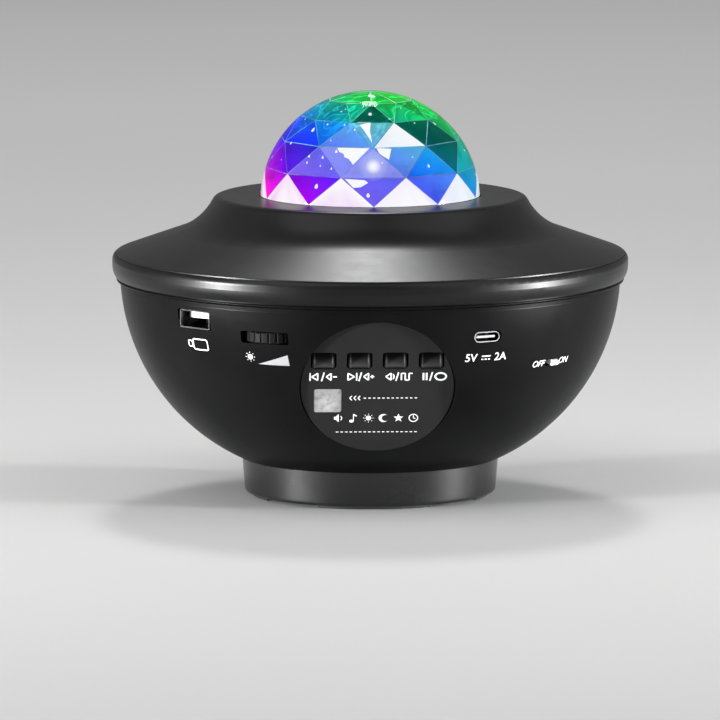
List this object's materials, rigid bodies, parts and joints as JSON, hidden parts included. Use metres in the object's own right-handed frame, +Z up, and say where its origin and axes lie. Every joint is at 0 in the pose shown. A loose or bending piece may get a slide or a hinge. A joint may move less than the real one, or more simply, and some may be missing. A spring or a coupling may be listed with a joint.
{
  "type": "star night light projector",
  "caption": "Round tabletop night light projector with a faceted lit dome, flared rim, bowl-shaped body with a tilted round control panel, side sockets, and a speaker in its foot",
  "frame": {"origin": "centre of the underside, on the surface that the four rubber pads stand on", "axes": "+Z up along the axis of the dome and the bowl; -Y out of the front, through the middle of the round control panel; +X to the right when facing the front"},
  "size_m": [0.165, 0.165, 0.1294],
  "materials": {
    "shell_black": "satin black moulded ABS",
    "foot_black": "semi-gloss black moulded ABS",
    "pad_rubber": "soft black rubber",
    "panel_grey": "matte dark grey with a polished bevel",
    "button_black": "matte black",
    "window_grey": "translucent grey infrared window",
    "dome_tinted": "faceted clear dome, lit from inside in blue, violet, magenta and teal",
    "knob_white": "white moulded plastic",
    "socket_steel": "bright stamped steel",
    "socket_white": "white moulded plastic",
    "socket_black": "black moulded plastic",
    "wheel_black": "black ribbed plastic",
    "board_green": "green solder mask",
    "part_black": "black epoxy and moulded cases",
    "can_steel": "tinned steel",
    "screw_steel": "zinc-plated steel",
    "deck_grey": "dark grey moulded ABS",
    "gear_white": "natural acetal",
    "lens_clear": "clear moulded acrylic",
    "post_alloy": "turned aluminium",
    "laser_brass": "turned brass",
    "sink_alloy": "anodised aluminium",
    "led_white": "light-emitting diodes under silicone domes",
    "magnet_dark": "ferrite and plated iron",
    "cone_paper": "pressed paper pulp",
    "spider_cloth": "varnished cotton",
    "coil_copper": "lacquered copper wire on a paper former"
  },
  "bodies": {
    "housing": {"top_cover": "shell_black", "bowl_shell": "shell_black", "base_foot": "foot_black", "foot_pads": "pad_rubber", "dome_lens": "dome_tinted", "control_panel": "panel_grey", "ir_window": "window_grey", "key_board": "board_green", "tact_switches": "part_black", "ir_receiver": "part_black", "usb_a_shell": "socket_steel", "usb_a_tongue": "socket_white", "usb_c_shell": "socket_steel", "usb_c_tongue": "socket_black", "dimmer_body": "part_black", "power_switch_body": "part_black", "main_board": "board_green", "wireless_module": "can_steel", "board_components": "part_black", "optics_deck": "deck_grey", "retaining_ring": "gear_white", "laser_post": "post_alloy", "laser_module": "laser_brass", "laser_grating": "lens_clear", "heat_sink": "sink_alloy", "led_board": "board_green", "led_emitters": "led_white", "lens_holder": "deck_grey", "led_lenses": "lens_clear", "gear_plate": "deck_grey", "idler_axle": "screw_steel", "drive_motor": "can_steel", "speaker_basket": "can_steel", "speaker_top_plate": "magnet_dark", "speaker_magnet": "magnet_dark", "speaker_yoke": "magnet_dark", "speaker_surround": "pad_rubber", "speaker_spider": "spider_cloth", "deck_screws": "screw_steel", "sink_screws": "screw_steel", "motor_screws": "screw_steel", "key_screws": "screw_steel", "power_screws": "screw_steel", "board_screws": "screw_steel", "speaker_screws": "screw_steel", "base_screws": "screw_steel"},
    "previous_button": {"previous_button": "button_black"},
    "next_button": {"next_button": "button_black"},
    "mode_button": {"mode_button": "button_black"},
    "play_button": {"play_button": "button_black"},
    "dimmer_wheel": {"dimmer_wheel": "wheel_black"},
    "power_knob": {"power_switch_knob": "knob_white"},
    "rotor": {"rotor_gear": "gear_white", "ripple_lens": "lens_clear"},
    "idler": {"idler_gear": "gear_white"},
    "pinion": {"motor_pinion": "laser_brass"},
    "cone": {"speaker_cone": "cone_paper", "voice_coil": "coil_copper"}
  },
  "joints": [
    {"name": "previous_button_press", "type": "slide", "parent": "housing", "child": "previous_button", "axis": [0, 0.9018, 0.4321], "range_m": [0, 0.0005], "stiffness_N_per_m": 1500},
    {"name": "next_button_press", "type": "slide", "parent": "housing", "child": "next_button", "axis": [0, 0.9018, 0.4321], "range_m": [0, 0.0005], "stiffness_N_per_m": 1500},
    {"name": "mode_button_press", "type": "slide", "parent": "housing", "child": "mode_button", "axis": [0, 0.9018, 0.4321], "range_m": [0, 0.0005], "stiffness_N_per_m": 1500},
    {"name": "play_button_press", "type": "slide", "parent": "housing", "child": "play_button", "axis": [0, 0.9018, 0.4321], "range_m": [0, 0.0005], "stiffness_N_per_m": 1500},
    {"name": "dimmer_turn", "type": "hinge", "parent": "housing", "child": "dimmer_wheel", "pos_m": [-0.03162, -0.06246, 0.0591], "axis": [0, 0, 1], "range_deg": [-135, 135]},
    {"name": "power_slide", "type": "slide", "parent": "housing", "child": "power_knob", "axis": [0.6807, 0.7325, 0], "range_m": [-0.002, 0]},
    {"name": "rotor_spin", "type": "hinge", "parent": "housing", "child": "rotor", "pos_m": [0, 0, 0.0872], "axis": [0, 0, 1], "continuous": true},
    {"name": "idler_spin", "type": "hinge", "parent": "housing", "child": "idler", "pos_m": [0, 0.02726, 0.084], "axis": [0, 0, 1], "continuous": true},
    {"name": "pinion_spin", "type": "hinge", "parent": "housing", "child": "pinion", "pos_m": [0.01227, 0.03173, 0.0825], "axis": [0, 0, 1], "continuous": true},
    {"name": "cone_travel", "type": "slide", "parent": "housing", "child": "cone", "axis": [0, 0, 1], "range_m": [-0.0005, 0.0005], "stiffness_N_per_m": 1000, "deforming": ["speaker_surround", "speaker_spider"]}
  ],
  "couplings": [
    {"joint": "idler_spin", "follows": "rotor_spin", "ratio": -4.6667},
    {"joint": "pinion_spin", "follows": "rotor_spin", "ratio": 19.6}
  ]
}
